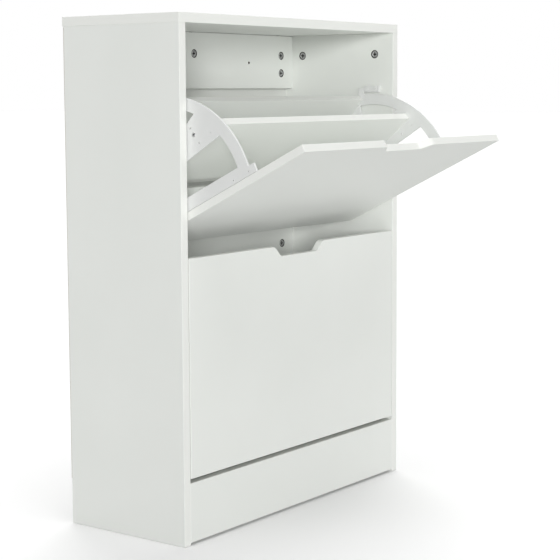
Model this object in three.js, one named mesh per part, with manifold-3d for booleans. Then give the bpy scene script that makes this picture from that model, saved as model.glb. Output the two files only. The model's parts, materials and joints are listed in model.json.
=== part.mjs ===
// A narrow shoe cabinet with two tilting flaps, built the way flat-pack furniture is:
// melamine-faced boards drawn together by cam locks, and two flaps that turn on pins,
// each one a door, four inner boards and a pair of plastic side brackets.
//
// Millimetres. +X is to the right seen from the front, the front faces -Y, +Z is up.
// The upper flap stands open and the lower one is closed. The origin is on the floor,
// under the middle of the box that holds the whole cabinet with its flap open.

import * as THREE from "three";
import { mergeVertices } from "three/addons/utils/BufferGeometryUtils.js";
import Module from "manifold-3d";

// ---------------------------------------------------------------- driving dimensions

// Carcass
const cabinetWidth = 600;
const cabinetHeight = 810;
const cabinetDepth = 240;
const boardThickness = 15;
const backPanelThickness = 3;
const backPanelReveal = 2; // board edge left bare on each side of the back panel
const backPanelTopGap = 1;
const plinthTop = 97;
const plinthFloorGap = 4;
const railHeight = 97;
const middleRailLift = 9.5; // top of the middle rail above the lower edge of the upper door
const anchorHoleOffset = 153; // from the middle of the top rail to each wall screw hole
const anchorHoleDrop = 51;
const anchorHoleRadius = 2.5;

// Doors
const doorThickness = 12;
const doorSideGap = 2;
const doorTopGap = 6.5;
const notchFloorWidth = 100;
const notchDepth = 16.5;
const notchWallRun = 17; // how far each sloping end of the notch leans outwards
const notchRimRadius = 16;
const notchFloorRadius = 7;

// Flap pivot and travel
const pivotDepth = 38; // behind the cabinet's front
const pivotHeight = 74.5; // above the door's lower edge
const openingAngle = THREE.MathUtils.degToRad(63.7);
const pinRadius = 4;
const pinHeadRadius = 8;
const pinHeadThickness = 3;
const pinHoleDepth = 12;

// Flap side brackets, measured from the pivot with the flap closed
const bracketThickness = 4;
const bracketSideGap = 2;
const bracketSwingGap = 10.5; // left between the stop lug and the back rails
const arcWidth = 19;
const footWidth = 19.5;
const footBottom = -70;
const tabRise = 11; // of the closing tab above the arc
const webFront = { foot: -12.3, lean: THREE.MathUtils.degToRad(5.8) };
const webRear = { foot: 11, lean: THREE.MathUtils.degToRad(20.6) };
const frontWindowSill = 18;
const rearWindowSill = { height: 6, tilt: THREE.MathUtils.degToRad(12.4) };
const windowCornerRadius = 3;
const bracketMargin = 8; // plate left behind and below the rear board it carries
const bracketBelly = { under: -38, bottom: -46 }; // the plate's corner below the divider
const lugHeight = 10;
const lugWidth = 12;

// Flap boards
const innerBoardThickness = 12;
const divider = { foot: 49, lean: THREE.MathUtils.degToRad(14), bottom: -12, topInset: 19.4 };
const rearBoard = { inset: 31.8, lean: THREE.MathUtils.degToRad(25), bottom: -55, topInset: 4.3 };
const frontFloor = { start: -50, tilt: THREE.MathUtils.degToRad(31) };
const rearFloorStart = -26;

// Stop blocks on the side panels, measured from the pivot
const stopFront = -12;
const stopLength = 32;
const stopHeight = 11.5;
const stopThickness = 6;
const stopArcGap = 3;
const stopCornerRadius = 2;
const knobRadius = 3;
const knobLength = 1.5;
const knobInset = { along: 7, up: 6 };

// Cam locks
const camRadius = 7.2;
const camPocketFloor = 2.5; // board left behind a cam pocket
const camEndSetback = 35; // from a board's end to the cam's centre
const camTopSetback = 37;
const endCamDrop = 69; // below the rail's top edge, on the top rail
const sideCamFrontInset = 39;
const sideCamRearInset = 38.5;
const bottomCamFrontInset = 60;
const bottomCamRearInset = 47;
const boltRadius = 3;
const boltHeadRadius = 3.6;
const boltHeadLength = 3;
const boltHeadOffset = 2.5; // from the cam's centre to the bolt's end
const boltEngagement = 11; // length of bolt screwed into the neighbouring board
const slotWidth = 1.8;
const slotLength = 9;
const slotDepth = 1.6;

// Clearances
const fitGap = 0.3; // between pieces that are fitted together
const stopGap = 0.4; // between a stop and what it stops
const plinthSwingGap = 0.6; // between the swinging edge of a door and the plinth
const doorSwingGap = 2; // between the swinging edge of the upper door and the lower door
const bottomPanelSwingGap = 6.4;

// ---------------------------------------------------------------- derived dimensions

const halfWidth = cabinetWidth / 2;
const halfInside = halfWidth - boardThickness;
const sideDepth = cabinetDepth - backPanelThickness;
const sideHeight = cabinetHeight - boardThickness;
const railFront = sideDepth - boardThickness;

// As a flap opens, its door's lower outer edge swings below where it stands when closed
const edgeSwingRadius = Math.hypot(pivotDepth, pivotHeight);
const edgeDipAt = (depth) => Math.sqrt(edgeSwingRadius ** 2 - (pivotDepth - depth) ** 2) - pivotHeight;
const doorBottomGap = edgeDipAt(boardThickness) + plinthSwingGap;
const doorMiddleGap = edgeDipAt(doorThickness) + doorSwingGap;

const doorHeight = (sideHeight - plinthTop - doorBottomGap - doorMiddleGap - doorTopGap) / 2;
const halfDoorWidth = halfInside - doorSideGap;
const lowerDoorBottom = plinthTop + doorBottomGap;
const bottomPanelTop = lowerDoorBottom - edgeDipAt(pivotDepth) - bottomPanelSwingGap;
const upperDoorBottom = lowerDoorBottom + doorHeight + doorMiddleGap;
const middleRailBottom = upperDoorBottom + middleRailLift - railHeight;

// Seen from the pivot: y runs to the back, z up
const doorInnerFace = doorThickness - pivotDepth;
const arcRadius = railFront - pivotDepth - lugHeight - bracketSwingGap;
const arcInnerRadius = arcRadius - arcWidth;
const bracketOuterX = halfInside - bracketSideGap;
const bracketInnerX = bracketOuterX - bracketThickness;
const innerBoardHalfLength = bracketInnerX - fitGap;
const rearBoardFoot = arcRadius - rearBoard.inset;
const stopBottom = arcRadius + stopArcGap;

// ---------------------------------------------------------------- solids and shapes

const wasm = await Module();
wasm.setup();

const X = new THREE.Vector3(1, 0, 0);
const Y = new THREE.Vector3(0, 1, 0);
const Z = new THREE.Vector3(0, 0, 1);

function solid(geometry) {
  const bare = geometry.clone();
  bare.deleteAttribute("normal");
  bare.deleteAttribute("uv");
  const merged = mergeVertices(bare, 1e-4);
  const vertProperties = new Float32Array(merged.attributes.position.array);
  const triVerts = new Uint32Array(merged.index.array);
  return new wasm.Manifold(new wasm.Mesh({ numProp: 3, vertProperties, triVerts }));
}

function geometryOf(manifold) {
  const { vertProperties, triVerts } = manifold.getMesh();
  const geometry = new THREE.BufferGeometry();
  geometry.setAttribute("position", new THREE.BufferAttribute(new Float32Array(vertProperties), 3));
  geometry.setIndex(new THREE.BufferAttribute(new Uint32Array(triVerts), 1));
  const faceted = geometry.toNonIndexed();
  faceted.computeVertexNormals();
  return faceted;
}

function cut(geometry, cutters) {
  return geometryOf(cutters.reduce((left, cutter) => left.subtract(solid(cutter)), solid(geometry)));
}

function boxBetween([x0, y0, z0], [x1, y1, z1]) {
  const box = new THREE.BoxGeometry(x1 - x0, y1 - y0, z1 - z0);
  return box.translate((x0 + x1) / 2, (y0 + y1) / 2, (z0 + z1) / 2);
}

// A closed outline through corners [x, y, radius], each one turned by an arc
function roundedOutline(corners) {
  const outline = new THREE.Shape();
  const points = corners.map(([x, y]) => new THREE.Vector2(x, y));
  corners.forEach(([, , radius = 0], i) => {
    const corner = points[i];
    const toBefore = points.at(i - 1).clone().sub(corner).normalize();
    const toAfter = points[(i + 1) % points.length].clone().sub(corner).normalize();
    const halfAngle = Math.acos(toBefore.dot(toAfter)) / 2;
    const setback = radius / Math.tan(halfAngle);
    const start = corner.clone().addScaledVector(toBefore, setback);
    const end = corner.clone().addScaledVector(toAfter, setback);
    if (i === 0) outline.moveTo(start.x, start.y);
    else outline.lineTo(start.x, start.y);
    if (radius === 0) return;
    const middle = toBefore.clone().add(toAfter).normalize();
    const centre = corner.clone().addScaledVector(middle, radius / Math.sin(halfAngle));
    const startAngle = start.clone().sub(centre).angle();
    const endAngle = end.clone().sub(centre).angle();
    const clockwise = toBefore.cross(toAfter) > 0;
    outline.absarc(centre.x, centre.y, radius, startAngle, endAngle, clockwise);
  });
  outline.closePath();
  return outline;
}

// An outline drawn in y and z, as thick as from x0 to x1
function plateAcross(outline, x0, x1, curveSegments = 3) {
  const plate = new THREE.ExtrudeGeometry(outline, {
    depth: x1 - x0,
    bevelEnabled: false,
    curveSegments,
  });
  return plate.applyMatrix4(new THREE.Matrix4().makeBasis(Y, Z, X)).translate(x0, 0, 0);
}

// A cylinder along a direction, from one distance to another along it
function rod(radius, from, to, direction, segments = 16) {
  const cylinder = new THREE.CylinderGeometry(radius, radius, to - from, segments);
  cylinder.translate(0, (from + to) / 2, 0);
  return cylinder.applyQuaternion(new THREE.Quaternion().setFromUnitVectors(Y, direction));
}

// ---------------------------------------------------------------- materials

const finish = (color, roughness, metalness = 0) => () =>
  new THREE.MeshStandardMaterial({ color, roughness, metalness });
const whiteMelamine = finish(0xe9ebe6, 0.45);
const whiteHardboard = finish(0xdddfda, 0.6);
const whitePlastic = finish(0xeef0ee, 0.35);
const greyZinc = finish(0x74767a, 0.4, 0.9);
const paleSteel = finish(0xc4c6c8, 0.3, 1);

function add(parent, name, geometry, material) {
  const mesh = new THREE.Mesh(geometry, material());
  mesh.name = name;
  parent.add(mesh);
}

// ---------------------------------------------------------------- cam locks

// Each lock sits in a pocket of one board. Its bolt leaves that board through the edge
// and is screwed into the neighbouring board. setback is the distance to that edge.
const camLocks = [];

function addCamLock(name, board, neighbour, centre, face, boltDirection, setback) {
  const across = new THREE.Vector3().crossVectors(face, boltDirection);
  const place = new THREE.Matrix4().makeBasis(boltDirection, across, face);
  place.setPosition(new THREE.Vector3(...centre));
  camLocks.push({ name, board, neighbour, place, setback });
}

const left = X.clone().negate();
const front = Y.clone().negate();
const down = Z.clone().negate();
const endCamX = halfInside - camEndSetback;
const topCamHeight = sideHeight - camTopSetback;
const middleRailMiddle = middleRailBottom + railHeight / 2;

for (const [place, x] of [["left", -endCamX], ["centre", 0], ["right", endCamX]]) {
  const name = `top_rail_upper_${place}`;
  const centre = [x, railFront, topCamHeight];
  addCamLock(name, "top_back_rail", "top_panel", centre, front, Z, camTopSetback);
}

for (const [side, sign, outward] of [["left", -1, left], ["right", 1, X]]) {
  const panel = `${side}_side_panel`;
  const inward = outward.clone().negate();
  const x = sign * endCamX;
  const topEnd = [x, railFront, sideHeight - endCamDrop];
  const middleEnd = [x, railFront, middleRailMiddle];
  const sideFront = [sign * halfInside, sideCamFrontInset, topCamHeight];
  const sideRear = [sign * halfInside, sideDepth - sideCamRearInset, topCamHeight];
  const bottomFront = [x, bottomCamFrontInset, bottomPanelTop - boardThickness];
  const bottomRear = [x, sideDepth - bottomCamRearInset, bottomPanelTop - boardThickness];
  addCamLock(`top_rail_end_${side}`, "top_back_rail", panel, topEnd, front, outward, camEndSetback);
  addCamLock(`middle_rail_${side}`, "middle_back_rail", panel, middleEnd, front, outward, camEndSetback);
  addCamLock(`${side}_side_front`, panel, "top_panel", sideFront, inward, Z, camTopSetback);
  addCamLock(`${side}_side_rear`, panel, "top_panel", sideRear, inward, Z, camTopSetback);
  addCamLock(`bottom_front_${side}`, "bottom_panel", panel, bottomFront, down, outward, camEndSetback);
  addCamLock(`bottom_rear_${side}`, "bottom_panel", panel, bottomRear, down, outward, camEndSetback);
}

// Around a lock, x runs along its bolt and z out of the board's face
const boltDepth = boardThickness / 2;
const pocketDepth = boardThickness - camPocketFloor;

function camBody() {
  const body = rod(camRadius, -(pocketDepth - fitGap), 0, Z);
  const boltWay = rod(boltHeadRadius + fitGap, 0, camRadius + 1, X, 8).translate(0, 0, -boltDepth);
  const slot = (length, width) => new THREE.BoxGeometry(length, width, 2 * slotDepth);
  return cut(body, [boltWay, slot(slotLength, slotWidth), slot(slotWidth, slotLength)]);
}

function camBolt(setback) {
  const profile = [
    [0, boltHeadOffset],
    [boltHeadRadius, boltHeadOffset],
    [boltHeadRadius, boltHeadOffset + boltHeadLength],
    [boltRadius, boltHeadOffset + boltHeadLength],
    [boltRadius, setback + boltEngagement],
    [0, setback + boltEngagement],
  ];
  const bolt = new THREE.LatheGeometry(profile.map(([r, y]) => new THREE.Vector2(r, y)), 8);
  return bolt.rotateZ(-Math.PI / 2).translate(0, 0, -boltDepth);
}

// What the locks need cut from one board: pockets and bolt ways, and holes for bolts
function camCutters(board) {
  return camLocks.flatMap(({ board: home, neighbour, place, setback }) => {
    if (home === board) {
      const pocket = rod(camRadius + fitGap, -pocketDepth, 1, Z);
      const boltWay = rod(boltHeadRadius + fitGap, 0, setback + 1, X, 8).translate(0, 0, -boltDepth);
      return [pocket.applyMatrix4(place), boltWay.applyMatrix4(place)];
    }
    if (neighbour === board) {
      const end = setback + boltEngagement + fitGap;
      const hole = rod(boltRadius + fitGap, setback - 1, end, X, 8).translate(0, 0, -boltDepth);
      return [hole.applyMatrix4(place)];
    }
    return [];
  });
}

// ---------------------------------------------------------------- carcass

const cabinet = new THREE.Group();

function addBoard(name, low, high, cutters = []) {
  add(cabinet, name, cut(boxBetween(low, high), [...camCutters(name), ...cutters]), whiteMelamine);
}

const lowerPivot = lowerDoorBottom + pivotHeight;
const upperPivot = upperDoorBottom + pivotHeight;
const pivots = [["lower", lowerPivot], ["upper", upperPivot]];
const sides = [["left", -1], ["right", 1]];

for (const [side, sign] of sides) {
  const xs = [sign * halfInside, sign * halfWidth].sort((a, b) => a - b);
  const outward = sign < 0 ? left : X;
  const pinHoles = pivots.map(([, height]) => {
    const hole = rod(pinRadius + fitGap, halfInside - 1, halfInside + pinHoleDepth, outward);
    return hole.translate(0, pivotDepth, height);
  });
  addBoard(`${side}_side_panel`, [xs[0], 0, 0], [xs[1], sideDepth, sideHeight], pinHoles);
}

addBoard("top_panel", [-halfWidth, 0, sideHeight], [halfWidth, cabinetDepth, cabinetHeight]);
addBoard(
  "bottom_panel",
  [-halfInside, boardThickness, bottomPanelTop - boardThickness],
  [halfInside, sideDepth, bottomPanelTop],
);
addBoard("plinth_board", [-halfInside, 0, plinthFloorGap], [halfInside, boardThickness, plinthTop]);

const anchorHoles = sides.map(([, sign]) => {
  const hole = rod(anchorHoleRadius, railFront - 1, sideDepth + 1, Y, 12);
  return hole.translate(sign * anchorHoleOffset, 0, sideHeight - anchorHoleDrop);
});
addBoard(
  "top_back_rail",
  [-halfInside, railFront, sideHeight - railHeight],
  [halfInside, sideDepth, sideHeight],
  anchorHoles,
);
addBoard(
  "middle_back_rail",
  [-halfInside, railFront, middleRailBottom],
  [halfInside, sideDepth, middleRailBottom + railHeight],
);

const backPanelHalfWidth = halfWidth - backPanelReveal;
const backPanel = boxBetween(
  [-backPanelHalfWidth, sideDepth, bottomPanelTop - boardThickness],
  [backPanelHalfWidth, cabinetDepth, sideHeight - backPanelTopGap],
);
add(cabinet, "back_panel", backPanel, whiteHardboard);

for (const { name, place, setback } of camLocks) {
  add(cabinet, `cam_${name}`, camBody().applyMatrix4(place), greyZinc);
  add(cabinet, `cam_bolt_${name}`, camBolt(setback).applyMatrix4(place), paleSteel);
}

// ---------------------------------------------------------------- pivots and stops

// Both are made for the right-hand side, and mirrored for the left

function pivotPin() {
  const shank = rod(pinRadius, bracketInnerX - fitGap - 1, halfInside + pinHoleDepth - fitGap, X);
  const headEnd = bracketInnerX - fitGap;
  const head = rod(pinHeadRadius, headEnd - pinHeadThickness, headEnd, X);
  return geometryOf(solid(shank).add(solid(head)));
}

function stopBlock() {
  const outline = roundedOutline([
    [stopFront, stopBottom, stopCornerRadius],
    [stopFront + stopLength, stopBottom, stopCornerRadius],
    [stopFront + stopLength, stopBottom + stopHeight, stopCornerRadius],
    [stopFront, stopBottom + stopHeight, stopCornerRadius],
  ]);
  const innerX = halfInside - stopThickness;
  const body = solid(plateAcross(outline, innerX, halfInside));
  const ends = [stopFront + knobInset.along, stopFront + stopLength - knobInset.along];
  const knobs = ends.map((along) =>
    rod(knobRadius, innerX - knobLength, innerX + 1, X, 12).translate(0, along, stopBottom + knobInset.up),
  );
  return geometryOf(knobs.reduce((joined, knob) => joined.add(solid(knob)), body));
}

// The mirror image in x, with each face turned back to point outwards
function mirrored(geometry) {
  const mirror = geometry.clone().scale(-1, 1, 1);
  const { array } = mirror.attributes.position;
  const corner = 3;
  for (let face = 0; face < array.length; face += 3 * corner) {
    const first = array.slice(face, face + corner);
    array.copyWithin(face, face + corner, face + 2 * corner);
    array.set(first, face + corner);
  }
  mirror.computeVertexNormals();
  return mirror;
}

function addPair(parent, nameFor, geometry, material) {
  add(parent, nameFor("right"), geometry, material);
  add(parent, nameFor("left"), mirrored(geometry), material);
}

for (const [level, height] of pivots) {
  const place = (geometry) => geometry.translate(0, pivotDepth, height);
  addPair(cabinet, (side) => `${level}_pivot_pin_${side}`, place(pivotPin()), paleSteel);
  addPair(cabinet, (side) => `${level}_stop_block_${side}`, place(stopBlock()), whitePlastic);
}

// ---------------------------------------------------------------- flaps

// Drawn closed, with the pivot as origin: y runs to the back and z up

// The point of a leaning line at a height, and where the line leaves a circle about the pivot
const onLine = (foot, lean, z) => [foot + z * Math.tan(lean), z];
function lineAtRadius(foot, lean, radius) {
  const slope = Math.tan(lean);
  const a = 1 + slope * slope;
  const b = foot * slope;
  const z = (-b + Math.sqrt(b * b - a * (foot * foot - radius * radius))) / a;
  return onLine(foot, lean, z);
}

// A board with square ends between two points of its middle line
function innerBoard([y0, z0], [y1, z1]) {
  const length = Math.hypot(y1 - y0, z1 - z0);
  const board = new THREE.BoxGeometry(2 * innerBoardHalfLength, length, innerBoardThickness);
  board.rotateX(Math.atan2(z1 - z0, y1 - y0));
  return board.translate(0, (y0 + y1) / 2, (z0 + z1) / 2);
}

const halfBoard = innerBoardThickness / 2;
const dividerBottom = onLine(divider.foot, divider.lean, divider.bottom);
const dividerTop = lineAtRadius(divider.foot, divider.lean, arcRadius - divider.topInset);
const rearBottom = onLine(rearBoardFoot, rearBoard.lean, rearBoard.bottom);
const rearTop = lineAtRadius(rearBoardFoot, rearBoard.lean, arcRadius - rearBoard.topInset);

// The front floor rises from the door until its lower rear corner meets the divider
function frontFloorBoard() {
  const { start, tilt } = frontFloor;
  const { lean, foot } = divider;
  const along = [Math.cos(tilt), Math.sin(tilt)];
  const below = [Math.sin(tilt) * halfBoard, -Math.cos(tilt) * halfBoard];
  const begin = [doorInnerFace + fitGap + below[0], start + below[1]];
  const lowerEdge = [begin[0] + below[0], begin[1] + below[1]];
  const dividerFace = foot - (halfBoard + fitGap) / Math.cos(lean);
  const reach = dividerFace + lowerEdge[1] * Math.tan(lean) - lowerEdge[0];
  const length = reach / (along[0] - along[1] * Math.tan(lean));
  return innerBoard(begin, [begin[0] + along[0] * length, begin[1] + along[1] * length]);
}

// The rear floor stands square to the divider and ends at the rear board
function rearFloorBoard() {
  const along = [Math.cos(divider.lean), -Math.sin(divider.lean)];
  const across = (halfBoard + fitGap) / Math.cos(divider.lean);
  const corner = onLine(divider.foot + across, divider.lean, rearFloorStart);
  const begin = [corner[0] - Math.sin(divider.lean) * halfBoard, corner[1] - Math.cos(divider.lean) * halfBoard];
  const low = [begin[0] - Math.sin(divider.lean) * halfBoard, begin[1] - Math.cos(divider.lean) * halfBoard];
  const rearFace = rearBoardFoot - (halfBoard + fitGap) / Math.cos(rearBoard.lean);
  const reach = rearFace + low[1] * Math.tan(rearBoard.lean) - low[0];
  const length = reach / (along[0] - along[1] * Math.tan(rearBoard.lean));
  return innerBoard(begin, [begin[0] + along[0] * length, begin[1] + along[1] * length]);
}

function door() {
  const bottom = -pivotHeight;
  const top = bottom + doorHeight;
  const floorHalf = notchFloorWidth / 2;
  const rimHalf = floorHalf + notchWallRun;
  const outline = roundedOutline([
    [-halfDoorWidth, bottom],
    [halfDoorWidth, bottom],
    [halfDoorWidth, top],
    [rimHalf, top, notchRimRadius],
    [floorHalf, top - notchDepth, notchFloorRadius],
    [-floorHalf, top - notchDepth, notchFloorRadius],
    [-rimHalf, top, notchRimRadius],
    [-halfDoorWidth, top],
  ]);
  const board = new THREE.ExtrudeGeometry(outline, {
    depth: doorThickness,
    bevelEnabled: false,
    curveSegments: 4,
  });
  return board.rotateX(Math.PI / 2).translate(0, doorInnerFace, 0);
}

// The plate is a sector of a disc with two windows, a foot along the door, a tab that stops
// the flap when it closes and a lug that stops it when it opens. Made for the right-hand side.
function bracket() {
  const x0 = bracketInnerX;
  const x1 = bracketOuterX;
  const footFront = doorInnerFace + fitGap;
  const footRear = doorInnerFace + footWidth;
  const wide = 2 * arcRadius;
  const disc = (radius) => solid(rod(radius, x0 - 1, x1 + 1, X, 96));

  const rearEdge = rearBoardFoot + (halfBoard + bracketMargin) / Math.cos(rearBoard.lean);
  const outline = roundedOutline([
    [footFront, footBottom],
    [footRear, footBottom],
    [onLine(divider.foot, divider.lean, bracketBelly.under)[0], bracketBelly.bottom],
    onLine(rearEdge, rearBoard.lean, rearBottom[1] - bracketMargin),
    onLine(rearEdge, rearBoard.lean, wide),
    [footFront, wide],
  ]);
  const sector = solid(plateAcross(outline, x0, x1)).intersect(disc(arcRadius));

  const webFrontFoot = divider.foot + webFront.foot;
  const webRearFoot = divider.foot + webRear.foot;
  const frontWindow = roundedOutline([
    [footRear, frontWindowSill, windowCornerRadius],
    [...onLine(webFrontFoot, webFront.lean, frontWindowSill), windowCornerRadius],
    onLine(webFrontFoot, webFront.lean, wide),
    [footRear, wide],
  ]);
  // Where the sill of the rear window meets the rear edge of the middle web
  const sillSlope = Math.tan(rearWindowSill.tilt);
  const sillStart =
    (webRearFoot + rearWindowSill.height * Math.tan(webRear.lean)) /
    (1 - sillSlope * Math.tan(webRear.lean));
  const rearWindow = roundedOutline([
    [sillStart, rearWindowSill.height + sillStart * sillSlope, windowCornerRadius],
    [wide, rearWindowSill.height + wide * sillSlope],
    onLine(webRearFoot, webRear.lean, wide),
  ]);
  const windows = [frontWindow, rearWindow].map((window) =>
    solid(plateAcross(window, x0 - 1, x1 + 1)).intersect(disc(arcInnerRadius)),
  );

  const tabTop = arcRadius + tabRise;
  const tab = boxBetween([x0, footFront, arcInnerRadius], [x1, stopFront - stopGap, tabTop]);
  const lugFront = stopFront + stopLength + stopGap;
  const lug = boxBetween([x0, lugFront, arcInnerRadius + 5], [x1, lugFront + lugWidth, arcRadius + lugHeight]);
  lug.rotateX(-openingAngle);
  const pivotHole = rod(pinRadius + fitGap, x0 - 1, x1 + 1, X);

  const plate = sector.add(solid(tab)).add(solid(lug));
  return geometryOf(windows.reduce((left, window) => left.subtract(window), plate).subtract(solid(pivotHole)));
}

function addFlap(level, height, angle) {
  const flap = new THREE.Group();
  flap.position.set(0, pivotDepth, height);
  flap.rotation.x = angle;
  add(flap, `${level}_door`, door(), whiteMelamine);
  add(flap, `${level}_divider_board`, innerBoard(dividerBottom, dividerTop), whiteMelamine);
  add(flap, `${level}_rear_board`, innerBoard(rearBottom, rearTop), whiteMelamine);
  add(flap, `${level}_front_floor_board`, frontFloorBoard(), whiteMelamine);
  add(flap, `${level}_rear_floor_board`, rearFloorBoard(), whiteMelamine);
  addPair(flap, (side) => `${level}_bracket_${side}`, bracket(), whitePlastic);
  cabinet.add(flap);
}

addFlap("lower", lowerPivot, 0);
addFlap("upper", upperPivot, openingAngle);

// ---------------------------------------------------------------- origin

const wholeBox = new THREE.Box3().setFromObject(cabinet, true);
cabinet.position.y = -(wholeBox.min.y + wholeBox.max.y) / 2;

export default new THREE.Group().add(cabinet);
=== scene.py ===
# %% [markdown]
# # A white shoe cabinet with two tilting flaps
# The cabinet is flat-pack furniture: particleboard faced with white melamine, drawn together by
# zinc cam locks, with two flaps that turn on steel pins between white plastic brackets. Its solids
# are already exact, so this lesson gives them what solids lack: softened edges, turned and pressed
# fittings, screws, and surfaces that catch light as the real ones do. We open the solids first,
# because every later piece takes its place and its body from them.

# %% Open the cabinet's solids
import json
import math

import bmesh
import bpy
from mathutils import Matrix, Vector


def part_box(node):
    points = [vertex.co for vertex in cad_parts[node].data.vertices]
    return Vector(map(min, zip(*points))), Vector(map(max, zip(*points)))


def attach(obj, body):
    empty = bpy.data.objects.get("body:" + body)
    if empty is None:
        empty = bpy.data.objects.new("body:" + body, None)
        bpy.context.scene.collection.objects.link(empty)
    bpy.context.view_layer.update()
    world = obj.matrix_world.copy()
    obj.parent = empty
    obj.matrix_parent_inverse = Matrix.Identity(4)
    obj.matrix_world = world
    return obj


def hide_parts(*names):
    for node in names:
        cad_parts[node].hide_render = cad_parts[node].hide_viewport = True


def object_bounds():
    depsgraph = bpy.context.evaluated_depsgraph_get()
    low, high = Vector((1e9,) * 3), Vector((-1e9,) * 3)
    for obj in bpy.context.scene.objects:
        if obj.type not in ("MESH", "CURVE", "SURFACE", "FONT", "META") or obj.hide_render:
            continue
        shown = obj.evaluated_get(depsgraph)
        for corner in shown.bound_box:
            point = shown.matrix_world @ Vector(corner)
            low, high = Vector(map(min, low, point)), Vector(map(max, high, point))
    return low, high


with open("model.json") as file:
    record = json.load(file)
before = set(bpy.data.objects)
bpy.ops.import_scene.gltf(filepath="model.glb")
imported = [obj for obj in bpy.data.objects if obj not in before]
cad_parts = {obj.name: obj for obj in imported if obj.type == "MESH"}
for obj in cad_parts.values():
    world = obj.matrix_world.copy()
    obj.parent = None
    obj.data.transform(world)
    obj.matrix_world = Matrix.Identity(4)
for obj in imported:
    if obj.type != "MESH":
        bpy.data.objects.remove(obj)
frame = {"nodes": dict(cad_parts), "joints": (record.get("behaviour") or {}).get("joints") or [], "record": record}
CAD_BOX = [list(corner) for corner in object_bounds()]
MM = 0.001
RECORD = frame["record"]
BODY_OF = {
    node: body for body, nodes in RECORD["behaviour"]["bodies"].items() for node in nodes}
SLOT_OF = {part["node"]: part["material_slot"] for part in RECORD["subparts"]}
print("solids:", len(frame["nodes"]), "bodies:", sorted(set(BODY_OF.values())))
print("box in mm:", [[round(v / MM, 1) for v in corner] for corner in CAD_BOX])

# %% [markdown]
# ## How a surface is made
# Melamine paper, moulded plastic and die-cast zinc are all nearly one colour. What tells them apart
# is fine relief and small changes of gloss. Several materials need the same two effects, a fine
# pebble and soft patches, so each effect is one node group with named sockets, built once and
# given different values in each material. Patterns read Object coordinates, which are metres here.

# %% Helpers for node groups
def new_group(name, inputs, outputs):
    """An empty group with its sockets, and its input and output nodes."""
    group = bpy.data.node_groups.new(name, "ShaderNodeTree")
    for title, kind, value in inputs:
        socket = group.interface.new_socket(title, in_out="INPUT", socket_type=kind)
        if value is not None:
            socket.default_value = value
    for title, kind in outputs:
        group.interface.new_socket(title, in_out="OUTPUT", socket_type=kind)
    return group, group.nodes.new("NodeGroupInput"), group.nodes.new("NodeGroupOutput")


def one_over(tree, value):
    """Turns the size of a pattern's cell into the Scale that a texture asks for."""
    node = tree.nodes.new("ShaderNodeMath")
    node.operation = "DIVIDE"
    node.inputs[0].default_value = 1.0
    tree.links.new(value, node.inputs[1])
    return node.outputs[0]


# %% [markdown]
# ### Pebble
# The press plate leaves a fine, even pebble in melamine, and a spark-eroded mould leaves one in
# plastic. Two octaves of noise make the height, and the size of the pebbles is given in metres so
# that a board and a bracket can carry different grades of the same texture.

# %% The pebble group
def make_pebble():
    group, entry, out = new_group(
        "pebble",
        [("Vector", "NodeSocketVector", None), ("Pebble Size", "NodeSocketFloat", 0.6 * MM)],
        [("Height", "NodeSocketFloat")],
    )
    per_metre = one_over(group, entry.outputs["Pebble Size"])
    noise = group.nodes.new("ShaderNodeTexNoise")
    noise.inputs["Detail"].default_value = 2.0
    noise.inputs["Roughness"].default_value = 0.45
    group.links.new(entry.outputs["Vector"], noise.inputs["Vector"])
    group.links.new(per_metre, noise.inputs["Scale"])
    group.links.new(noise.outputs["Fac"], out.inputs["Height"])
    return group


PEBBLE = make_pebble()
print("group:", PEBBLE.name, [item.name for item in PEBBLE.interface.items_tree])

# %% [markdown]
# ### Soft patches
# Hands, packing foam and dust leave a white cabinet very slightly uneven. A broad noise, stretched
# to reach from 0 to 1, moves the colour by about one part in forty and the gloss by a little more.
# It could be painted, but noise gives every piece its own patches at no cost.

# %% The patches group
def make_patches():
    group, entry, out = new_group(
        "patches",
        [("Vector", "NodeSocketVector", None), ("Patch Size", "NodeSocketFloat", 120 * MM)],
        [("Value", "NodeSocketFloat")],
    )
    per_metre = one_over(group, entry.outputs["Patch Size"])
    noise = group.nodes.new("ShaderNodeTexNoise")
    noise.inputs["Detail"].default_value = 3.0
    group.links.new(entry.outputs["Vector"], noise.inputs["Vector"])
    group.links.new(per_metre, noise.inputs["Scale"])
    spread = group.nodes.new("ShaderNodeMapRange")
    spread.inputs["From Min"].default_value = 0.3
    spread.inputs["From Max"].default_value = 0.7
    group.links.new(noise.outputs["Fac"], spread.inputs["Value"])
    group.links.new(spread.outputs["Result"], out.inputs["Value"])
    return group


PATCHES = make_patches()
print("group:", PATCHES.name, [item.name for item in PATCHES.interface.items_tree])

# %% [markdown]
# ### One recipe for a finish
# Each finish mixes two near tones by the patches, lets the same patches move the roughness, and
# feeds the pebble to a Bump node. Masks painted on the mesh mark the places where a finish differs.
# One mask marks the glued edge tape of a board. On the fittings the same mask paints shade: near
# black on the floor of a screw's cross and in a cam's cross, groove and outer wall. Another, called
# drilled, marks the walls of holes and pockets, where raw wood chips show. Numbers that are the
# same all over, such as metalness, are typed straight into the Principled shader.

# %% Helpers for the recipe
def mix_colours(tree, factor, first, second):
    mix = tree.nodes.new("ShaderNodeMix")
    mix.data_type = "RGBA"
    for socket, value in ((mix.inputs[0], factor), (mix.inputs[6], first), (mix.inputs[7], second)):
        if isinstance(value, tuple):
            socket.default_value = (*value, 1.0)
        else:
            tree.links.new(value, socket)
    return mix.outputs[2]


def placed_group(tree, group, vector, size):
    node = tree.nodes.new("ShaderNodeGroup")
    node.node_tree = group
    tree.links.new(vector, node.inputs["Vector"])
    node.inputs[1].default_value = size
    return node.outputs[0]


def read_mask(tree, name):
    node = tree.nodes.new("ShaderNodeAttribute")
    node.attribute_name = name
    return node.outputs["Fac"]


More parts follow.
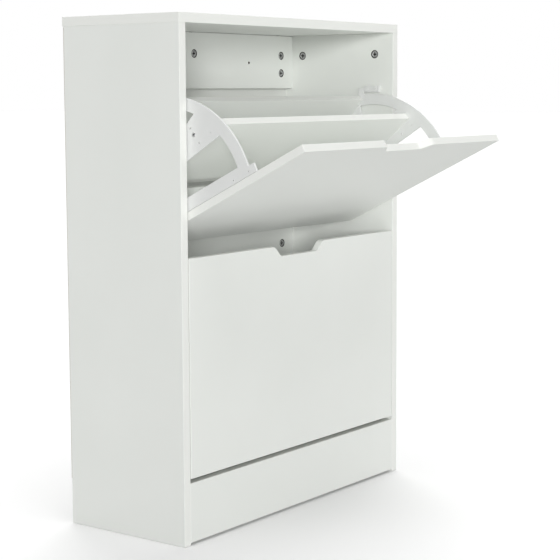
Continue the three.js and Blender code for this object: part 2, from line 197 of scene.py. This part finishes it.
# %% [markdown]
# The recipe takes its values in a maker's words: two tones, the tone of the marked places, the
# range of roughness, the size and the height of the pebble, the size of a patch, how metallic it
# is, and two tones of raw wood where a board is drilled. It could be five separate materials drawn
# node by node, but then a change to one would have to be made five times.

# %% The recipe
CHIP_SIZE = 2 * MM


def make_finish(name, tones, marked, gloss, pebble, relief, patch, metal=0.0, raw=None):
    material = bpy.data.materials.new(name)
    material.use_nodes = True
    tree = material.node_tree
    shader = tree.nodes["Principled BSDF"]
    place = tree.nodes.new("ShaderNodeTexCoord").outputs["Object"]
    patches = placed_group(tree, PATCHES, place, patch)
    colour = mix_colours(tree, patches, *tones)
    # The same mask carries the edge tape of boards and the painted shade in the recesses of cams and screws.
    colour = mix_colours(tree, read_mask(tree, "worn"), colour, marked)
    if raw:
        core = mix_colours(tree, placed_group(tree, PATCHES, place, CHIP_SIZE), *raw)
        colour = mix_colours(tree, read_mask(tree, "drilled"), colour, core)
    tree.links.new(colour, shader.inputs["Base Color"])
    rough = tree.nodes.new("ShaderNodeMapRange")
    rough.inputs["To Min"].default_value, rough.inputs["To Max"].default_value = gloss
    tree.links.new(patches, rough.inputs["Value"])
    tree.links.new(rough.outputs["Result"], shader.inputs["Roughness"])
    bump = tree.nodes.new("ShaderNodeBump")
    bump.inputs["Strength"].default_value = 1.0
    bump.inputs["Distance"].default_value = relief
    tree.links.new(placed_group(tree, PEBBLE, place, pebble), bump.inputs["Height"])
    tree.links.new(bump.outputs["Normal"], shader.inputs["Normal"])
    shader.inputs["Metallic"].default_value = metal
    print("finish:", name, "with", len(tree.nodes), "nodes")
    return material


# %% [markdown]
# ### The five finishes
# Melamine is a satin white with the faintest green cast. Its edge tape is a touch lighter and
# warmer than the faces, as tape from another roll always is. Hardboard is duller, and coarser to
# the touch. The plastic is a more neutral white and glossier. Zinc die-castings come out of the
# barrel dull and grey, and steel pins and screws are plated bright.

# %% The five finishes
FINISHES = {
    "white_board": make_finish(
        "white_melamine",
        tones=((0.765, 0.785, 0.752), (0.785, 0.803, 0.772)), marked=(0.80, 0.812, 0.78),
        gloss=(0.40, 0.50), pebble=0.7 * MM, relief=0.02 * MM, patch=160 * MM,
        raw=((0.07, 0.06, 0.05), (0.17, 0.145, 0.12))),
    "white_hardboard": make_finish(
        "white_hardboard",
        tones=((0.69, 0.705, 0.675), (0.73, 0.742, 0.712)), marked=(0.62, 0.60, 0.55),
        gloss=(0.58, 0.70), pebble=1.1 * MM, relief=0.09 * MM, patch=90 * MM),
    "white_plastic": make_finish(
        "white_moulded_plastic",
        tones=((0.700, 0.712, 0.700), (0.725, 0.736, 0.725)), marked=(0.34, 0.35, 0.34),
        gloss=(0.30, 0.40), pebble=0.5 * MM, relief=0.015 * MM, patch=50 * MM),
    # On zinc and steel the marked tone is painted shade: near black in a cam's cross, groove and outer wall, and
    # on the floor of a screw's cross.
    "grey_zinc": make_finish(
        "dull_zinc",
        tones=((0.30, 0.305, 0.30), (0.50, 0.505, 0.50)), marked=(0.02, 0.02, 0.02),
        gloss=(0.38, 0.55), pebble=0.4 * MM, relief=0.04 * MM, patch=4 * MM, metal=0.45),
    "bright_steel": make_finish(
        "plated_steel",
        tones=((0.56, 0.565, 0.57), (0.66, 0.665, 0.67)), marked=(0.06, 0.06, 0.06),
        gloss=(0.22, 0.34), pebble=0.4 * MM, relief=0.01 * MM, patch=6 * MM, metal=1.0),
}

# %% [markdown]
# ## From a solid to a finished piece
# A CAD solid has edges as sharp as mathematics allows, and such edges never catch the light. A real
# board's edge is broken with a scraper to about half a millimetre. We never touch the solid itself:
# a copy of its mesh is merged, its flat faces are joined again, and the long edges are bevelled.
# The copy then stands for the solid and rides on the same body.

# %% Copy and merge
SAME_POINT = 0.002 * MM
FLAT_WITHIN = math.radians(0.4)


def merged_copy(node):
    shape = bmesh.new()
    shape.from_mesh(frame["nodes"][node].data)
    bmesh.ops.remove_doubles(shape, verts=shape.verts, dist=SAME_POINT)
    bmesh.ops.dissolve_limit(
        shape, angle_limit=FLAT_WITHIN, use_dissolve_boundaries=False,
        verts=shape.verts, edges=shape.edges, delimit=set())
    return shape


trial = merged_copy("top_panel")
triangles = len(frame["nodes"]["top_panel"].data.polygons)
print("top panel:", triangles, "triangles become", len(trial.faces), "faces")
trial.free()

# %% [markdown]
# ### Breaking edges
# A Bevel modifier could do this while it stays editable, but the bevel operator lets us choose the
# edges by how sharp and how long they are, which keeps drilled rims crisp.

# %% Break the edges
SHARP_ABOVE = math.radians(50)


def break_edges(shape, width, longer_than=0.0, segments=2):
    shape.normal_update()
    edges = [
        edge for edge in shape.edges
        if len(edge.link_faces) == 2
        and edge.calc_face_angle() > SHARP_ABOVE
        and edge.calc_length() > longer_than
    ]
    bmesh.ops.bevel(
        shape, geom=edges, offset=width, offset_type="OFFSET", affect="EDGES", segments=segments,
        profile=0.5, material=-1, clamp_overlap=True)
    return len(edges)


# %% [markdown]
# ### Showing a piece
# The last step of every piece is the same. Its masks are painted, its material is chosen by the
# slot in the record, its shading is weighted so that wide faces stay flat beside their narrow
# bevels, and it is told which body it rides on.

# %% Paint, shade and ride
SMOOTH_BELOW = math.radians(38)


def paint(mesh, name, mask):
    values = mesh.attributes.new(name, "FLOAT", "CORNER").data
    for face in mesh.polygons:
        value = mask(face)
        for corner in face.loop_indices:
            values[corner].value = value


def show(shape, name, slot, body, **masks):
    mesh = bpy.data.meshes.new(name)
    shape.normal_update()
    shape.to_mesh(mesh)
    shape.free()
    mesh.polygons.foreach_set("use_smooth", [True] * len(mesh.polygons))
    mesh.set_sharp_from_angle(angle=SMOOTH_BELOW)
    for title, mask in masks.items():
        paint(mesh, title, mask)
    piece = bpy.data.objects.new(name, mesh)
    bpy.context.scene.collection.objects.link(piece)
    mesh.materials.append(FINISHES[slot])
    even = piece.modifiers.new("even shading", "WEIGHTED_NORMAL")
    even.weight, even.keep_sharp = 100, True
    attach(piece, body)
    return piece


# %% [markdown]
# ## The boards
# Boards are cut from big sheets, and their raw edges are covered with tape. On each board the two
# widest faces are the sheet's own surface, and everything else is tape, so that mask is simply a
# question about which way a face looks. A face that lies on none of the six sides of its board's
# box belongs to a hole or a pocket. The pockets for the cam locks keep their sharp drilled rims,
# which is why only edges longer than a few millimetres are broken on the carcass. The top rail is
# cut a hair short so that it can never hold the top panel off the sides, and a thin dark line
# shows there.

# %% Finish a board
BOARD_EDGE = 0.6 * MM
THIN_EDGE = 0.25 * MM
RAIL_GAP = 1.1 * MM
LONG_EDGE = 9 * MM
SKIN = 0.8 * MM
NEAR_TOP = 0.1 * MM
SAME_WAY = 0.9


def inside_box(node):
    """A test for points that are deeper in a node's box than its broken edges reach."""
    low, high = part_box(node)
    return lambda spot: all(low[i] + SKIN < spot[i] < high[i] - SKIN for i in range(3))


def cut_short(shape, amount):
    """Lowers the top edge of a board."""
    top = max(vert.co.z for vert in shape.verts)
    end = [vert for vert in shape.verts if vert.co.z > top - NEAR_TOP]
    bmesh.ops.translate(shape, verts=end, vec=(0, 0, -amount))


def finish_board(node, width=BOARD_EDGE, longer_than=LONG_EDGE, short=0.0):
    shape = merged_copy(node)
    cut_short(shape, short)
    in_hole = inside_box(node)
    has_pockets = BODY_OF[node] == "carcass"
    widest = max(shape.faces, key=lambda face: face.calc_area())
    across = widest.normal.copy()
    broken = break_edges(shape, width, longer_than=longer_than)
    board = show(
        shape, f"{node}_finished", SLOT_OF[node], BODY_OF[node],
        worn=lambda face: 0.0 if abs(face.normal.dot(across)) > SAME_WAY else 1.0,
        drilled=lambda face: 1.0 if has_pockets and in_hole(face.center) else 0.0)
    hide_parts(node)
    print(f"{node}: {broken} edges broken, {len(board.data.polygons)} faces")


for node in (
        "left_side_panel", "right_side_panel", "top_panel", "bottom_panel", "plinth_board"):
    finish_board(node)
finish_board("top_back_rail", short=RAIL_GAP)
finish_board("middle_back_rail")
finish_board("back_panel", width=THIN_EDGE)

# %% [markdown]
# ## The doors and the boards of the flaps
# The doors are cut from a thinner sheet of the same kind, with a finger notch routed in the upper
# edge. The notch is made of many short edges, and here they all have to be broken, so the length
# limit is dropped. The four boards of each bin are plain, and their edges are left crisper.

# %% Finish the flaps' boards
LEVELS = ("lower", "upper")
SIDES = ("left", "right")
DOOR_EDGE = 0.8 * MM
BIN_BOARD_EDGE = 0.4 * MM

for level in LEVELS:
    finish_board(f"{level}_door", width=DOOR_EDGE, longer_than=0.0)
    for board in ("divider_board", "rear_board", "front_floor_board", "rear_floor_board"):
        finish_board(f"{level}_{board}", width=BIN_BOARD_EDGE, longer_than=0.0)

# %% [markdown]
# ## Where things are on a flap
# A flap is easiest to think of while it is closed, measured from its pivot: how far back, and how
# far up. The pivot comes from the joint in the record. The lower flap stands closed, and the upper
# one is turned open by its joint's travel, so one matrix for each flap carries a closed drawing to
# where the flap really is.

# %% A matrix for each flap
JOINT_OF = {joint["child"]: joint for joint in frame["joints"]}


def flap_matrix(level):
    joint = JOINT_OF[f"{level}_flap"]
    opening = max(abs(limit) for limit in joint["range_deg"]) if level == "upper" else 0.0
    return Matrix.Translation(joint["pos_m"]) @ Matrix.Rotation(math.radians(opening), 4, "X")


FLAP = {level: flap_matrix(level) for level in LEVELS}
BRACKET_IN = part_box("lower_bracket_right")[0].x
BRACKET_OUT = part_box("lower_bracket_right")[1].x
print("bracket plate in mm:", round(BRACKET_IN / MM, 2), "to", round(BRACKET_OUT / MM, 2))

# %% [markdown]
# ## The side brackets
# Each bracket is one flat moulding. It has a few small holes, for the pegs that line it up with the
# boards, and moulding them is cheap, so there are spares. Real holes go right through. They could
# be drawn as dark spots in the material, but a Boolean with a few short rods makes true ones. The
# edges are broken first, while the outline is still simple.

# %% Helpers to drill with
ROD_SIDES = 16


def rod(radius, low, high, place):
    shape = bmesh.new()
    bmesh.ops.create_cone(
        shape, cap_ends=True, segments=ROD_SIDES, radius1=radius, radius2=radius, depth=high - low,
        matrix=place @ Matrix.Translation((0, 0, (low + high) / 2)))
    return shape


def join(shapes):
    """All the shapes in one new bmesh, with their faces in order."""
    whole = bmesh.new()
    for shape in shapes:
        part = bpy.data.meshes.new("part")
        shape.to_mesh(part)
        shape.free()
        whole.from_mesh(part)
        bpy.data.meshes.remove(part)
    return whole


def drilled(shape, drills):
    """The shape with the drills taken out of it, as a new bmesh."""
    objects = []
    for name, each in (("work", shape), ("drills", join(drills))):
        mesh = bpy.data.meshes.new(name)
        each.to_mesh(mesh)
        each.free()
        objects.append(bpy.data.objects.new(name, mesh))
        bpy.context.scene.collection.objects.link(objects[-1])
    work, tool = objects
    taken = work.modifiers.new("holes", "BOOLEAN")
    taken.operation, taken.object, taken.solver = "DIFFERENCE", tool, "EXACT"
    result = bmesh.new()
    result.from_object(work, bpy.context.evaluated_depsgraph_get())
    for each in objects:
        mesh = each.data
        bpy.data.objects.remove(each)
        bpy.data.meshes.remove(mesh)
    return result


trial = rod(2 * MM, 0.0, 5 * MM, Matrix.Identity(4))
print("a rod of 4 mm by 5 mm holds", round(trial.calc_volume() / MM ** 3, 1), "cubic millimetres")
trial.free()

# %% [markdown]
# ### Places on a bracket
# A place on a bracket is given as how far behind the pivot and how far above it, with the flap
# closed. Turning a rod's own Z to the cabinet's X, to the right or to the left, makes the same list
# serve both sides.

# %% Find a place on a bracket
def on_bracket(level, side, back, up, depth):
    """A place on a bracket's plate, depth metres out from the cabinet's middle, Z outwards."""
    outward = 1 if side == "right" else -1
    turn = Matrix.Rotation(outward * math.pi / 2, 4, "Y")
    return FLAP[level] @ Matrix.Translation((outward * depth, back * MM, up * MM)) @ turn


spot = on_bracket("upper", "right", 0.0, 0.0, BRACKET_OUT).translation
print("the upper right pivot in mm:", [round(value / MM, 1) for value in spot])

# %% [markdown]
# Each hole below is given by its place behind and above the pivot and by its radius, in
# millimetres. The last two are in the bracket's foot, next to the door.

# %% Mould the brackets
PEG_HOLES = (
    (83.5, 89.5, 1.8), (56.1, 94.9, 1.8), (61, 121, 1.0), (-20, 129, 1.1), (-20, 160.5, 1.1))
BRACKET_EDGE = 0.5 * MM
DRILL_SPARE = 1 * MM


def finish_bracket(level, side):
    node = f"{level}_bracket_{side}"
    shape = merged_copy(node)
    broken = break_edges(shape, BRACKET_EDGE)
    far_end = BRACKET_OUT - BRACKET_IN + DRILL_SPARE
    drills = [
        rod(radius * MM, -DRILL_SPARE, far_end, on_bracket(level, side, back, up, BRACKET_IN))
        for back, up, radius in PEG_HOLES
    ]
    shape = drilled(shape, drills)
    bracket = show(shape, f"{node}_moulded", "white_plastic", BODY_OF[node])
    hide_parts(node)
    print(f"{node}: {broken} edges broken, {len(bracket.data.polygons)} faces")


for level in LEVELS:
    for side in SIDES:
        finish_bracket(level, side)

# %% [markdown]
# ## Turned and pressed fittings
# Screw heads, cam discs and nails are all round. Each starts as half an outline, spun about its
# axis, which is how they are turned or rolled in the first place.

# %% Spin an outline
SAME_POLE = 0.005 * MM


def turned(outline, steps):
    shape = bmesh.new()
    verts = [shape.verts.new((radius, 0.0, height)) for radius, height in outline]
    edges = [shape.edges.new(pair) for pair in zip(verts, verts[1:])]
    bmesh.ops.spin(
        shape, geom=verts + edges, cent=(0, 0, 0), axis=(0, 0, 1), angle=math.tau, steps=steps,
        use_merge=True, use_duplicate=False)
    bmesh.ops.remove_doubles(shape, verts=shape.verts, dist=SAME_POLE)
    bmesh.ops.recalc_face_normals(shape, faces=shape.faces)
    return shape


trial = turned([(0, 1 * MM), (3 * MM, 0), (0, -1 * MM)], steps=24)
print("a turned double cone:", len(trial.faces), "faces, closed:",
      all(edge.is_manifold for edge in trial.edges))
trial.free()

# %% [markdown]
# ### A cross recess
# The cross could be cut with a Boolean, but a Boolean on a small round part leaves slivers. Here
# four cuts each way divide the face into strips, and the strips of the cross are pushed down. That
# leaves clean faces, and it works on the disc of a cam and on a screw alike.

# %% Press a cross
ON_THE_CUT = 0.001 * MM
LOOKS_ALONG = 0.5


def press_cross(shape, reach, width, depth, above):
    """Pushes down a cross in the faces that look up and lie above a height."""
    cuts = [
        (axis, sign * size)
        for axis in "xy" for sign in (-1, 1) for size in (width / 2, reach / 2)]
    for axis, offset in cuts:
        normal = Vector((1, 0, 0)) if axis == "x" else Vector((0, 1, 0))
        bmesh.ops.bisect_plane(
            shape, geom=shape.verts[:] + shape.edges[:] + shape.faces[:], dist=ON_THE_CUT,
            plane_co=normal * offset, plane_no=normal)
    shape.normal_update()

    def in_cross(face):
        spot = face.calc_center_median()
        x, y = abs(spot.x), abs(spot.y)
        across = min(x, y) < width / 2 and max(x, y) < reach / 2
        return face.normal.z > LOOKS_ALONG and spot.z > above and across

    pressed = [face for face in shape.faces if in_cross(face)]
    moved = bmesh.ops.extrude_face_region(shape, geom=pressed)
    bmesh.ops.delete(shape, geom=pressed, context="FACES_ONLY")
    floor = [item for item in moved["geom"] if isinstance(item, bmesh.types.BMVert)]
    bmesh.ops.translate(shape, verts=floor, vec=(0, 0, -depth))
    bmesh.ops.recalc_face_normals(shape, faces=shape.faces)
    return shape


# %% [markdown]
# ### Cam locks
# A cam lock is a zinc disc sunk in a pocket, flush with the board. Its face is dished, with a
# raised ring, and a groove runs between the ring and the thin outer wall. A cross takes the
# screwdriver, and a small arrow cast beside it points to the bolt while the lock is open. The
# groove, the outer wall and the cross are painted near black, as shade. There are fifteen, all
# alike, so one is shaped and then placed fifteen times.

# %% Shape one cam
CAM_OUTLINE = (
    (0, -0.8), (4.4, -0.8), (4.9, -0.4), (5.5, -0.4), (5.8, -0.9), (5.9, -2.4), (6.8, -2.4),
    (6.9, 0.0), (7.2, -0.3), (7.2, -11.6), (6.7, -12.1), (0, -12.1))
FACE_RADIUS = 5.75 * MM
RECESS_BELOW = -1.2 * MM


def cam_shape():
    shape = turned([(radius * MM, height * MM) for radius, height in CAM_OUTLINE], steps=32)
    press_cross(shape, reach=7.0 * MM, width=2.3 * MM, depth=1.9 * MM, above=-1.0 * MM)
    arrow = bmesh.new()
    bmesh.ops.create_cone(
        arrow, cap_ends=True, segments=3, radius1=1.0 * MM, radius2=0.6 * MM, depth=0.5 * MM,
        matrix=Matrix.Translation((4.6 * MM, 0, -0.45 * MM)))
    return join([shape, arrow])


def sunk_faces(shape):
    """The numbers of the faces that are in the cross or in the groove."""
    spots = [(face.index, face.calc_center_median()) for face in shape.faces]
    return {
        index for index, spot in spots
        if spot.z < RECESS_BELOW or spot.xy.length > FACE_RADIUS}


trial = cam_shape()
print("one cam:", len(trial.faces), "faces,", len(sunk_faces(trial)), "of them dark")
trial.free()

# %% [markdown]
# ### Where the cams sit
# Each cam solid tells where its disc belongs: its box is thinnest along the pocket, and the bolt's
# solid lies on the side that the arrow points to. A cam on a side panel faces the middle of the
# cabinet, one on a back rail faces the front, and one under the bottom panel faces the floor.

# %% Place the cams
def cam_place(node):
    low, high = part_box(node)
    middle, size = (low + high) / 2, high - low
    axis = min(range(3), key=lambda i: size[i])
    face = Vector((0, 0, 0))
    face[axis] = -math.copysign(1, middle.x) if axis == 0 else -1
    bolt_low, bolt_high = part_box(node.replace("cam_", "cam_bolt_"))
    bolt = (bolt_low + bolt_high) / 2 - middle
    bolt[axis] = 0
    bolt.normalize()
    centre = middle.copy()
    centre[axis] = high[axis] if face[axis] > 0 else low[axis]
    across = face.cross(bolt)
    turn = Matrix((bolt, across, face)).transposed().to_4x4()
    return Matrix.Translation(centre) @ turn


CAMS = [node for node in frame["nodes"] if node.startswith("cam_") and "bolt" not in node]
for node in CAMS:
    shape = cam_shape()
    sunk = sunk_faces(shape)
    bmesh.ops.transform(shape, matrix=cam_place(node), verts=shape.verts)
    # The cross, the groove and the outer wall are painted near black here, as shade.
    cam = show(shape, f"{node}_cast", "grey_zinc", "carcass",
               worn=lambda face: 1.0 if face.index in sunk else 0.0)
    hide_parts(node)
print("cams:", len(CAMS), "each of", len(cam.data.polygons), "faces")

# %% [markdown]
# ### Screws
# Every bin board is held by plated screws through the brackets, with low domed heads that clear
# the side panels. Their centres lie on the middle lines of the boards, and they are given as the
# holes are, behind and above the pivot. No two screws stop at the same angle, so each is turned a
# little further than the one before.

# %% Drive the screws
SCREWS = (
    (71.8, 91.0), (51.5, 10.0), (141.9, 22.1), (119.6, -26.0),
    (-9.8, -47.4), (24.5, -26.8), (67.0, -36.7), (96.1, -43.9))
SCREW_OUTLINE = (
    (0, 1.0), (1.6, 0.9), (2.8, 0.6), (3.4, 0.1), (3.4, -0.3), (1.5, -2.5), (0, -2.5))
NEXT_ANGLE = math.radians(37)
RECESS_LEVEL = 0.25 * MM


def screw_shape():
    shape = turned([(radius * MM, height * MM) for radius, height in SCREW_OUTLINE], steps=20)
    return press_cross(shape, reach=3.8 * MM, width=0.9 * MM, depth=0.9 * MM, above=0.3 * MM)


def in_recess(face):
    """True for the floor of a cross: it looks outwards and is level with the bracket's face."""
    level = abs(face.center.x) < BRACKET_OUT + RECESS_LEVEL
    return abs(face.normal.x) > LOOKS_ALONG and level


for level in LEVELS:
    for side in SIDES:
        heads = []
        for number, (back, up) in enumerate(SCREWS):
            head = screw_shape()
            place = on_bracket(level, side, back, up, BRACKET_OUT)
            turn = Matrix.Rotation(NEXT_ANGLE * number, 4, "Z")
            bmesh.ops.transform(head, matrix=place @ turn, verts=head.verts)
            heads.append(head)
        # The floor of each screw's cross is painted near black here, as shade.
        screws = show(
            join(heads), f"{level}_bracket_screws_{side}", "bright_steel", f"{level}_flap",
            worn=lambda face: 1.0 if in_recess(face) else 0.0)
print("screws on each bracket:", len(SCREWS), "faces in each set:", len(screws.data.polygons))

# %% [markdown]
# ### Pivot pins and bolts
# A pin must keep the exact diameter of its solid, because the bracket turns on it, so it is a
# softened copy and not a new shape. The bolts are hidden inside the boards except where they cross
# a cam's pocket. Their solids stay, with the steel's finish.

# %% Finish the pins and bolts
PIN_EDGE = 0.5 * MM

for level in LEVELS:
    for side in SIDES:
        node = f"{level}_pivot_pin_{side}"
        shape = merged_copy(node)
        break_edges(shape, PIN_EDGE, segments=3)
        pin = show(shape, f"{node}_turned", "bright_steel", "carcass")
        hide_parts(node)
bolts = [node for node in frame["nodes"] if node.startswith("cam_bolt_")]
for node in bolts:
    solid = frame["nodes"][node]
    solid.data.materials.clear()
    solid.data.materials.append(FINISHES["bright_steel"])
print("pins: 4, bolts kept as solids:", len(bolts))

# %% [markdown]
# ### Stop blocks
# A small moulding on each side panel stops the bracket at the ends of its travel. Its edges are
# rounder than they need to be for strength, so that they don't catch a sleeve.

# %% Finish the stop blocks
STOP_EDGE = 0.6 * MM

for level in LEVELS:
    for side in SIDES:
        node = f"{level}_stop_block_{side}"
        shape = merged_copy(node)
        break_edges(shape, STOP_EDGE, segments=3)
        block = show(shape, f"{node}_moulded", "white_plastic", "carcass")
        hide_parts(node)
print("stop blocks: 4 of", len(block.data.polygons), "faces")

# %% [markdown]
# ## The back panel's nails
# Thin hardboard is nailed to the edges of the carcass. The heads are small and flat, about a
# hand's width apart, and they are driven in until they are level with the panel's face.

# %% Place the nails
NAIL_INSET = 6 * MM
GAPS_UP = 6
GAPS_ACROSS = 6


def nail_places():
    """Where the nails go, as X and Z, all round the back panel's edge."""
    low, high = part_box("back_panel")
    left, right = low.x + NAIL_INSET, high.x - NAIL_INSET
    bottom, top = low.z + NAIL_INSET, high.z - NAIL_INSET
    places = []
    for x in (left, right):
        for step in range(GAPS_UP + 1):
            places.append((x, bottom + (top - bottom) * step / GAPS_UP))
    for z in (bottom, top):
        for step in range(1, GAPS_ACROSS):
            places.append((left + (right - left) * step / GAPS_ACROSS, z))
    return places


print("nails:", len(nail_places()))

# %% [markdown]
# One head is a low disc with a slightly domed face. Turning its Z to the cabinet's back and moving
# it to each place makes the whole set, and the set is one piece, as it is all one kind of thing.

# %% Nail the back panel
NAIL_OUTLINE = ((0, 0.0), (1.3, -0.05), (1.5, -0.2), (1.5, -0.6), (0, -0.6))
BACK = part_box("back_panel")[1].y

heads = []
for x, z in nail_places():
    head = turned([(radius * MM, height * MM) for radius, height in NAIL_OUTLINE], steps=12)
    turn = Matrix.Rotation(-math.pi / 2, 4, "X")
    bmesh.ops.transform(
        head, matrix=Matrix.Translation((x, BACK, z)) @ turn, verts=head.verts)
    heads.append(head)
nails = show(join(heads), "back_panel_nails", "bright_steel", "carcass")
print("faces of all the nails:", len(nails.data.polygons))

# %% [markdown]
# ## The floor
# The floor is one large sheet of near-white, bright enough to meet the background without a line.
# It throws less light back than it shows, because a real white floor would flood a white cabinet
# until its faces looked alike. It casts no shadow either, so light can also come from below, as it
# does from the white table of a studio.

# %% Lay the floor
FLOOR_REACH = 40
FLOOR_DROP = 0.3 * MM
FLOOR_THROWS = (0.46, 0.46, 0.46)
FLOOR_SHOWS = (0.97, 0.97, 0.97)


def lay_floor():
    shape = bmesh.new()
    bmesh.ops.create_grid(shape, x_segments=2, y_segments=2, size=FLOOR_REACH)
    mesh = bpy.data.meshes.new("studio_floor")
    shape.to_mesh(mesh)
    shape.free()
    floor = bpy.data.objects.new("studio_floor", mesh)
    floor.location.z = CAD_BOX[0][2] - FLOOR_DROP
    bpy.context.scene.collection.objects.link(floor)
    material = bpy.data.materials.new("studio_white")
    material.use_nodes = True
    tree = material.node_tree
    shader = tree.nodes["Principled BSDF"]
    seen = tree.nodes.new("ShaderNodeLightPath").outputs["Is Camera Ray"]
    tone = mix_colours(tree, seen, FLOOR_THROWS, FLOOR_SHOWS)
    tree.links.new(tone, shader.inputs["Base Color"])
    shader.inputs["Roughness"].default_value = 0.9
    shader.inputs["Specular IOR Level"].default_value = 0.1
    mesh.materials.append(material)
    floor.visible_shadow = False
    return floor


floor = lay_floor()
print("floor at", round(floor.location.z / MM, 1), "mm")

# %% [markdown]
# ## The light
# White objects are lit in a tent: weak light from all round, and broad lamps that make the faces
# differ a little. The world is the tent. One sun comes nearly level from the front left, where it
# reaches deep into the open flap, and the others are wide and soft: from above, from the front,
# from low down and from behind. The last two stand for light that has bounced between white walls
# many times. They cast no shadow, which brightens the inside of the cabinet evenly.

# %% Helpers for the lights
def hang_sun(name, energy, spread, tilt, turn, shadow):
    light = bpy.data.lights.new(name, "SUN")
    light.energy, light.angle, light.use_shadow = energy, math.radians(spread), shadow
    lamp = bpy.data.objects.new(name, light)
    lamp.rotation_euler = (math.radians(tilt), 0, math.radians(turn))
    bpy.context.scene.collection.objects.link(lamp)


def hang_tent(lighting, seen_as):
    world = bpy.data.worlds.new("studio_tent")
    world.use_nodes = True
    tree = world.node_tree
    path = tree.nodes.new("ShaderNodeLightPath")
    strength = tree.nodes.new("ShaderNodeMapRange")
    strength.inputs["To Min"].default_value = lighting
    strength.inputs["To Max"].default_value = seen_as
    tree.links.new(path.outputs["Is Camera Ray"], strength.inputs["Value"])
    tree.nodes["Background"].inputs["Color"].default_value = (1.0, 1.0, 1.0, 1.0)
    tree.links.new(strength.outputs["Result"], tree.nodes["Background"].inputs["Strength"])
    bpy.context.scene.world = world


# %% [markdown]
# A sun is given by its strength, the width of its disc, how far it is tilted from straight above,
# and how far that tilt is turned from the front, all angles in degrees. Past 90 it shines upwards.

# %% Hang the lights
SUNS = (
    ("overhead", 1.9, 60, 8, -30, True),
    ("key", 1.55, 10, 85, -53, True),
    ("front_key", 0.16, 30, 86, -22, True),
    ("low_bounce", 0.80, 50, 112, -34, True),
    ("back_fill", 1.9, 60, 65, 125, True),
    ("front_fill", 0.70, 60, 100, -15, False),
    ("floor_glow", 0.20, 60, 180, 0, False),
)

hang_tent(lighting=0.16, seen_as=1.0)
for name, energy, spread, tilt, turn, shadow in SUNS:
    hang_sun(name, energy, spread, tilt, turn, shadow)
bpy.context.scene.view_settings.view_transform = "Standard"
print("suns:", [sun[0] for sun in SUNS])

# %% [markdown]
# ## The camera
# The cabinet is seen from the front left, from a little below its top, with a long lens, so that
# the open flap shows its boards and its underside at once. A small vertical shift of the lens, in
# place of more tilt, keeps the uprights nearly parallel.

# %% Set up the camera
STANDS_AT = (-2.0355, -1.4920, 0.6918)
YAW, PITCH, ROLL = math.radians(53.245), math.radians(-5.976), math.radians(-0.298)


def set_up_camera():
    data = bpy.data.cameras.new("front_left")
    data.sensor_width, data.lens, data.shift_y = 36.0, 98.37, -0.05
    data.clip_end = 200
    camera = bpy.data.objects.new("front_left", data)
    camera.location = STANDS_AT
    level = math.cos(PITCH)
    aim = Vector((math.sin(YAW) * level, math.cos(YAW) * level, math.sin(PITCH)))
    camera.rotation_euler = (
        aim.to_track_quat("-Z", "Y").to_matrix().to_4x4() @ Matrix.Rotation(ROLL, 4, "Z")
    ).to_euler()
    bpy.context.scene.collection.objects.link(camera)
    bpy.context.scene.camera = camera
    print("camera:", [round(value, 3) for value in camera.location], "lens", data.lens)


set_up_camera()
